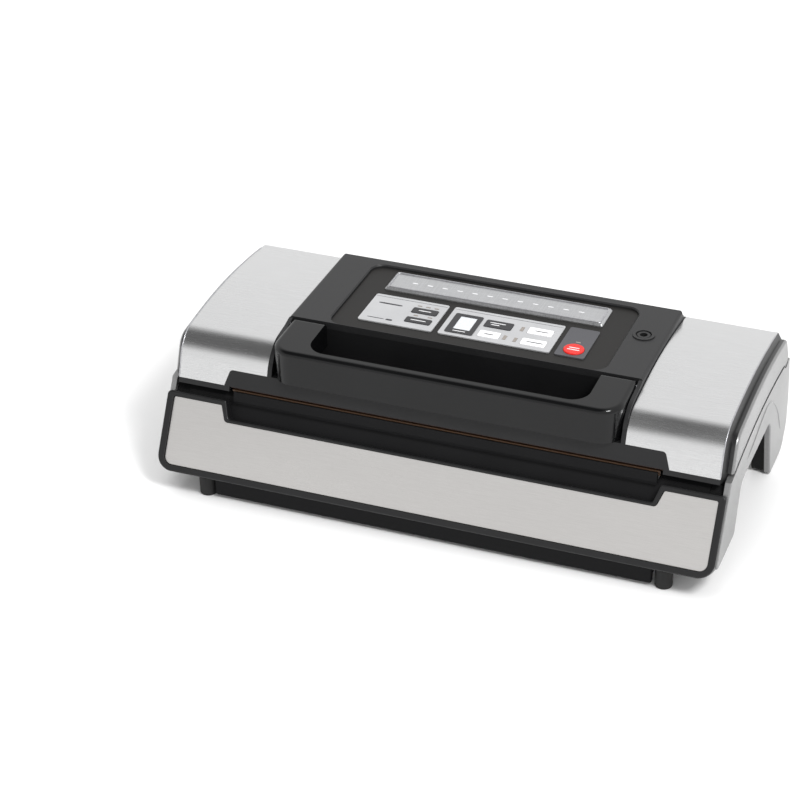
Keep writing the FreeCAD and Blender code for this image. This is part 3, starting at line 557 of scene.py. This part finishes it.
wears = {
    "steel": ["lid_steel_right", "lid_steel_left"],
    "panelSteel": ["base_steel_panel"],
    "badge": ["name_strip"],
    "aluminium": ["heating_bar", "pump_housing"],
    "silver": ["base_cheek_right", "base_cheek_left"],
    "silverTrim": ["lid_cheek_right", "lid_cheek_left"],
    "housingBlack": ["base_shell", "bottom_cover", "side_frame_right", "side_frame_left", "lid_tray"],
    "frameBlack": ["front_frame", "lid_frame"],
    "hoodBlack": ["hood", "hose_port"],
    "handleBlack": ["handle"],
    "overlayFilm": ["control_overlay"],
    "chamberBlack": ["vacuum_chamber", "hose_elbow", "power_inlet"],
    "rubber": ["rear_pads", "front_feet"],
    "foam": ["lower_gasket", "upper_gasket"],
    "silicone": ["pressure_rubber", "key_mat"],
    "tape": ["ptfe_strip"],
    "plated": ["bottom_screws", "lid_screws", "hinge_pins", "hinge_brackets", "handle_pins", "latch_catches",
               "latch_shaft", "latch_hooks", "motor_can", "motor_rotor", "pump_crank"],
    "laminations": ["transformer_core"],
    "windings": ["transformer_coil"],
    "board": ["power_board", "control_board"],
    "hose": ["air_hose"],
    "film": ["mode_plate", "key_plate"],
    "stopGrey": ["stop_plate"],
    "keyCharcoal": ["mode_key", "food_key", "pulse_key", "display_bezel"],
    "keyWhite": ["seal_key", "canister_key", "marinate_key"],
    "keyRed": ["stop_key"],
    "glass": ["display_window"],
    "pipe": ["indicator_lights"],
}
for finish, members in wears.items():
    for member in members:
        nodes[member].data.materials.clear()
        nodes[member].data.materials.append(finishes[finish])
print("finishes given to", sum(len(m) for m in wears.values()), "nodes")


def meshObject(name, verts, faces, finish, body, smooth=True):
    # a finished piece at the origin that rides on one CAD body
    mesh = bpy.data.meshes.new(name)
    mesh.from_pydata(verts.tolist(), [], faces.tolist())
    mesh.update()
    mesh.polygons.foreach_set("use_smooth", np.full(len(mesh.polygons), smooth))
    mesh.materials.append(finishes[finish])
    piece = bpy.data.objects.new(name, mesh)
    bpy.context.scene.collection.objects.link(piece)
    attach(piece, body)
    return piece


def gridFaces(rows, columns, closedRows):
    # quads between neighbouring rows; columns always close on themselves
    i = np.arange(rows if closedRows else rows - 1)[:, None]
    j = np.arange(columns)[None, :]
    k, n = (i + 1) % rows, (j + 1) % columns
    return np.stack([i * columns + j, i * columns + n, k * columns + n, k * columns + j], -1).reshape(-1, 4)


def ringPoints(count, power=1.0):
    # (sign(cos t) |cos t|^p, sign(sin t) |sin t|^p) for t once round: a circle, squarer as p falls below 1
    angle = np.linspace(0, 2 * np.pi, count, endpoint=False)
    circle = np.column_stack([np.cos(angle), np.sin(angle)])
    return np.sign(circle) * np.abs(circle) ** power


def sweptLoop(path, normal, section, closed):
    # vertex(i, j) = path_i + a_j * (tangent_i x normal) + b_j * normal, section point j = (a_j, b_j)
    if closed:
        ahead, behind = np.roll(path, -1, 0), np.roll(path, 1, 0)
    else:
        ahead = np.vstack([path[1:], 2 * path[-1:] - path[-2:-1]])
        behind = np.vstack([2 * path[:1] - path[1:2], path[:-1]])
    tangent = ahead - behind
    tangent /= np.linalg.norm(tangent, axis=1)[:, None]
    across = np.cross(tangent, normal)
    across /= np.linalg.norm(across, axis=1)[:, None]
    out, up = section[None, :, 0, None], section[None, :, 1, None]
    return path[:, None] + out * across[:, None] + up * np.array(normal)


def smoothed(points, count):
    # Catmull-Rom curve between points b and c, with a before and d after them, at the share t of the way:
    # 0.5 (2b + (c - a) t + (2a - 5b + 4c - d) t^2 + (3b - a - 3c + d) t^3)
    points = np.array(points, float)
    padded = np.vstack([2 * points[0] - points[1], points, 2 * points[-1] - points[-2]])
    place = np.linspace(0, len(points) - 1 - 1e-9, count)      # just short of the end point
    k = place.astype(int)
    t = (place - k)[:, None]
    a, b, c, d = (padded[k + n] for n in range(4))
    square, cube = 2 * a - 5 * b + 4 * c - d, 3 * b - a - 3 * c + d
    return 0.5 * (2 * b + (c - a) * t + square * t ** 2 + cube * t ** 3)


def roundedLine(corners, steps):
    # each corner (y, z, r) becomes an arc that touches both its edges, at points p and q seen from the arc's
    # middle: middle + (p sin((1 - s) turn) + q sin(s turn)) / sin(turn) for s from 0 to 1
    stops = [np.array(corners[0][:2])]
    for before, here, after in zip(corners, corners[1:], corners[2:]):
        corner, radius = np.array(here[:2]), here[2]
        back, on = (np.array(p[:2]) - corner for p in (before, after))
        back, on = back / np.linalg.norm(back), on / np.linalg.norm(on)
        half = math.acos(float(back @ on)) / 2
        middle = corner + (back + on) / np.linalg.norm(back + on) * radius / math.sin(half)
        first, last = (corner + way * radius / math.tan(half) - middle for way in (back, on))
        share = np.linspace(0, 1, steps)[:, None]
        turn = math.pi - 2 * half
        arc = np.sin((1 - share) * turn) * first + np.sin(share * turn) * last
        stops.extend(middle + arc / math.sin(turn))
    stops.append(np.array(corners[-1][:2]))
    return np.array(stops)


cheekWave = {
    # (y, z) in metres along the embossed ridge on each base cheek
    "path": [(-0.0225, 0.0612), (-0.0075, 0.0634), (0.0068, 0.0666), (0.0178, 0.0688), (0.0288, 0.0700),
             (0.0416, 0.0668), (0.0540, 0.0579), (0.0655, 0.0454), (0.0731, 0.0330), (0.0790, 0.0226)],
    "halfWidth": 0.0009,
    "height": 0.00055,
    "sink": 0.0001,          # how far the ridge's middle lies under the cheek's face
    "fadeShare": 0.1,        # share of the run over which each end dies away
    "leastFade": 0.02,
    "steps": 140,
    "around": 14,
}


def embossedWaves():
    # ridge section (w sin t, h cos t - sink), times the square root of the way into the fade at each end
    wave = cheekWave
    angle = np.linspace(0, 2 * np.pi, wave["around"], endpoint=False)
    section = np.column_stack([wave["halfWidth"] * np.sin(angle),
                               wave["height"] * np.cos(angle) - wave["sink"]])
    run = np.linspace(0, 1, wave["steps"])
    fade = np.clip(np.minimum(run, 1 - run) / wave["fadeShare"], wave["leastFade"], 1) ** 0.5
    curve = smoothed(wave["path"], wave["steps"])
    for side, name in ((1, "right"), (-1, "left")):
        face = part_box("base_cheek_" + name)[1 if side > 0 else 0][0]
        path = np.column_stack([np.full(len(curve), face), curve])
        loop = sweptLoop(path, (float(side), 0.0, 0.0), section, False)
        loop = path[:, None] + (loop - path[:, None]) * fade[:, None, None]
        meshObject("cheek_wave_" + name, loop.reshape(-1, 3), gridFaces(len(path), len(section), False),
                   "silver", "base")


gasketShape = {"stripWidth": 0.0050, "corner": 0.0120, "cornerSteps": 12, "bulge": 0.62, "around": 28}


def racetrack(low, high, corner, steps):
    # rounded rectangle in plan: corner centre + corner * (cos t, sin t), a quarter turn at each corner
    middles = [(high[0] - corner, high[1] - corner, 0), (low[0] + corner, high[1] - corner, 1),
               (low[0] + corner, low[1] + corner, 2), (high[0] - corner, low[1] + corner, 3)]
    quarter = np.linspace(0, np.pi / 2, steps)
    rounds = []
    for x, y, quarters in middles:
        angle = quarter + quarters * np.pi / 2
        rounds.append(np.column_stack([x + corner * np.cos(angle), y + corner * np.sin(angle)]))
    return np.vstack(rounds)


def foamGaskets():
    # bulging section (w a, h b), with (a, b) round a squared circle, swept round a racetrack at mid height
    shape = gasketShape
    inset = shape["stripWidth"] / 2
    for node, body in (("lower_gasket", "base"), ("upper_gasket", "lid")):
        low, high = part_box(node)
        plan = racetrack((low[0] + inset, low[1] + inset), (high[0] - inset, high[1] - inset),
                         shape["corner"] - inset, shape["cornerSteps"])
        path = np.column_stack([plan, np.full(len(plan), (low[2] + high[2]) / 2)])
        section = ringPoints(shape["around"], shape["bulge"]) * (inset, (high[2] - low[2]) / 2)
        loop = sweptLoop(path, (0.0, 0.0, 1.0), section, True)
        ring = meshObject(node + "_foam", loop.reshape(-1, 3), gridFaces(len(path), len(section), True),
                          "foam", body)
        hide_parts(node)


hoodFall = math.radians(1.8)     # the hood's top falls towards the back by this


def onPlate(node, points):
    # (right, back, up) from the plate's front left top corner, tipped with the hood by f:
    # right, back cos f + up sin f, up cos f - back sin f
    low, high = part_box(node)
    x, y, z = points[..., 0], points[..., 1], points[..., 2]
    back = low[1] + y * math.cos(hoodFall) + z * math.sin(hoodFall)
    up = high[2] - y * math.sin(hoodFall) + z * math.cos(hoodFall)
    return np.stack([low[0] + x, back, up], -1)


prints = {
    # piece: (node it is printed on, body, finish, slot, mm below the node's top,
    #         bars as (middle right, middle back, length, width) in mm)
    "mode_plate_print": ("mode_plate", "lid", "printInk", "dark_key", 0.0,
                         [(14.0, 26.6, 17.0, 1.7), (11.0, 5.4, 12.0, 0.8), (20.6, 5.4, 4.6, 2.0),
                          (26.2, 35.2, 52.0, 0.35)]),
    "key_plate_print": ("key_plate", "lid", "printInk", "dark_key", 0.0, [(38.8, 35.2, 77.0, 0.35)]),
    "mode_key_print": ("mode_key", "mode_key", "printWhite", "white_key", 0.0, [(9.0, 3.6, 9.0, 0.9)]),
    "food_key_print": ("food_key", "food_key", "printWhite", "white_key", 0.0, [(9.0, 3.6, 11.0, 0.9)]),
    "pulse_key_print": ("pulse_key", "pulse_key", "printWhite", "white_key", 0.0,
                        [(8.6, 6.2, 11.0, 0.9), (7.4, 3.6, 6.0, 0.9)]),
    "seal_key_print": ("seal_key", "seal_key", "printInk", "dark_key", 0.0, [(7.2, 4.3, 6.4, 1.0)]),
    "canister_key_print": ("canister_key", "canister_key", "printInk", "dark_key", 0.0,
                           [(9.4, 4.3, 9.6, 1.0)]),
    "marinate_key_print": ("marinate_key", "marinate_key", "printInk", "dark_key", 0.0,
                           [(9.4, 4.3, 11.4, 1.0)]),
    "stop_key_print": ("stop_key", "stop_key", "printWhite", "white_key", 0.0,
                       [(7.0, 8.2, 7.2, 0.9), (7.0, 5.6, 8.6, 0.9)]),
    "badge_marks": ("name_strip", "lid", "printWhite", "silver_print", 0.25,
                    [(18.0 + 10.8 * n, 12.4, 4.0, 1.1) for n in range(12)]),
    "display_print": ("display_bezel", "lid", "printWhite", "white_key", 0.0, [(9.6, 2.6, 9.0, 0.8)]),
}
barShape = {
    "squareness": 0.5,
    "around": 24,
    # share of full width and mm above the print's level: foot, side, top edge and middle
    "rings": [(1.0, -0.02), (1.0, 0.03), (0.96, 0.05), (0.0, 0.05)],
}


def printedBars():
    # ring of share s: centre + (a (length - (1 - s) width) / 2, b s width / 2), with (a, b) round a squared
    # circle; the last ring is drawn in to the centre
    outline = ringPoints(barShape["around"], barShape["squareness"])
    share, rise = np.array(barShape["rings"]).T[:, :, None]
    faces = gridFaces(len(share), len(outline), False)
    for name, (node, body, finish, slotName, drop, bars) in prints.items():
        clumps = []
        for right, back, length, width in bars:
            across = right + outline[:, 0] * (length - (1 - share) * width) / 2
            depth = back + outline[:, 1] * share * width / 2
            clump = np.stack([across, depth, np.broadcast_to(rise - drop, across.shape)], -1)
            clump[-1, :, :2] = (right, back)
            clumps.append(onPlate(node, clump / 1000).reshape(-1, 3))
        links = [faces + n * len(clumps[0]) for n in range(len(clumps))]
        meshObject(name, np.vstack(clumps), np.vstack(links), finish, body, False)


badgeRim = {
    "setIn": 0.0014,         # m, from the badge's edge
    "width": 0.0012,
    "height": 0.00055,
    "corner": 0.0015,
    "cornerSteps": 8,
    # bevelled section, in shares of width and height
    "section": [(0.5, -0.4), (0.5, 0.25), (0.3, 0.85), (0.0, 1.0), (-0.3, 0.85), (-0.5, 0.25), (-0.5, -0.4)],
}


def badgeFrame():
    # bevelled frame round the badge: (w a, h b) for each section point, swept round a racetrack that is
    # tipped with the hood
    shape = badgeRim
    low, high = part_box("name_strip")
    span, depth = high[0] - low[0], (high[1] - low[1]) / math.cos(hoodFall)
    inset = shape["setIn"] + shape["width"] / 2
    plan = racetrack((inset, inset), (span - inset, depth - inset), shape["corner"], shape["cornerSteps"])
    path = np.column_stack([plan, np.zeros(len(plan))])
    section = np.array(shape["section"]) * (shape["width"], shape["height"])
    loop = sweptLoop(path, (0.0, 0.0, 1.0), section, True)
    verts = onPlate("name_strip", loop).reshape(-1, 3)
    meshObject("name_strip_rim", verts, gridFaces(len(path), len(section), True), "plated", "lid",
               False)


steelBead = {
    # (y, z, corner radius) in metres along the lid's side outline
    "outline": [(-0.0686, 0.0692), (-0.0585, 0.1008, 0.022), (0.020, 0.1072, 0.430), (0.0815, 0.0968)],
    "cornerSteps": 24,
    "start": 0.0736,         # z of the front end
    "rear": 0.0802,          # y that it stays in front of
    "radius": 0.00042,
    "setIn": 0.0002,         # from the steel's outer end
    "around": 10,
}


def steelEdgeBeads():
    # thin rolled edge: circle r (cos t, sin t) swept along the lid's outline, at the outer end of each steel
    # wrap, after the outline's first point has moved along its first edge to the starting height
    bead = steelBead
    outline = roundedLine(bead["outline"], bead["cornerSteps"])
    reach = outline[1] - outline[0]
    outline[0] += reach * (bead["start"] - outline[0][1]) / reach[1]
    outline = outline[outline[:, 0] < bead["rear"]]
    section = bead["radius"] * ringPoints(bead["around"])
    for side, name in ((1, "right"), (-1, "left")):
        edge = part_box("lid_steel_" + name)[1 if side > 0 else 0][0] - side * bead["setIn"]
        path = np.column_stack([np.full(len(outline), edge), outline])
        loop = sweptLoop(path, (float(side), 0.0, 0.0), section, False)
        meshObject("steel_bead_" + name, loop.reshape(-1, 3), gridFaces(len(path), len(section), False),
                   "plated", "lid")


embossedWaves()
foamGaskets()
badgeFrame()
steelEdgeBeads()
printedBars()
print("added pieces made")


studio = {
    "floorHalf": 6.0,
    "floorTone": (0.93, 0.93, 0.93),
    "horizon": 1.0,          # brightness of the wall of light round the set
    "shade": 0.13,           # brightness of the dark patch overhead
    "shadeAim": (-0.306, -0.2635, 0.915),
    "shadeEdges": (0.70, 0.92),     # cosines of the angle to it, where it begins and where it is darkest
}
lamps = {
    # place, aim, width and height in metres, power in watts, whether reflections show it
    "overheadKey": ((-0.5, -0.5, 2.2), (0, 0, 0), (1.6, 1.6), 18.0, False),
    "cornerSoftbox": ((1.20, -0.80, 1.90), (0, 0, 0.05), (0.5, 0.6), 34.0, True),
}


def makeFloor():
    # flat square at the object's lowest point
    half = studio["floorHalf"]
    mesh = bpy.data.meshes.new("studioFloor")
    corners = [(x * half, y * half, 0) for x, y in ((-1, -1), (1, -1), (1, 1), (-1, 1))]
    mesh.from_pydata(corners, [], [(0, 1, 2, 3)])
    floor = bpy.data.objects.new("studioFloor", mesh)
    bpy.context.scene.collection.objects.link(floor)
    material, tree, shader = newMaterial("studioFloor", {"Roughness": 0.16, "Specular IOR Level": 0.4})
    shader.inputs["Base Color"].default_value = (*studio["floorTone"], 1)
    mesh.materials.append(material)


def makeSky():
    # bright all round, with one soft dark patch nearly overhead: strength falls in a straight line from
    # horizon to shade as the cosine of the angle to the patch goes from one edge to the other
    world = bpy.data.worlds.new("studioLight")
    bpy.context.scene.world = world
    world.use_nodes = True
    tree = world.node_tree
    back = next(n for n in tree.nodes if n.type == "BACKGROUND")
    coords = tree.nodes.new("ShaderNodeTexCoord")
    near = tree.nodes.new("ShaderNodeVectorMath")
    near.operation = "DOT_PRODUCT"
    tree.links.new(coords.outputs["Generated"], near.inputs[0])
    near.inputs[1].default_value = Vector(studio["shadeAim"]).normalized()
    strength = ranged(tree, near.outputs["Value"], studio["shadeEdges"],
                      (studio["horizon"], studio["shade"]))
    tree.links.new(strength, back.inputs["Strength"])
    back.inputs["Color"].default_value = (1, 1, 1, 1)


def makeLamp(name):
    # rectangle of light that faces its aim
    place, aim, (width, height), power, glossy = lamps[name]
    data = bpy.data.lights.new(name, "AREA")
    data.shape, data.size, data.size_y, data.energy = "RECTANGLE", width, height, power
    light = bpy.data.objects.new(name, data)
    bpy.context.scene.collection.objects.link(light)
    light.location = place
    light.rotation_euler = (Vector(aim) - Vector(place)).to_track_quat("-Z", "Y").to_euler()
    light.visible_glossy = glossy


makeFloor()
makeSky()
for lamp in lamps:
    makeLamp(lamp)
bpy.context.scene.view_settings.view_transform = "Standard"
print("studio set")
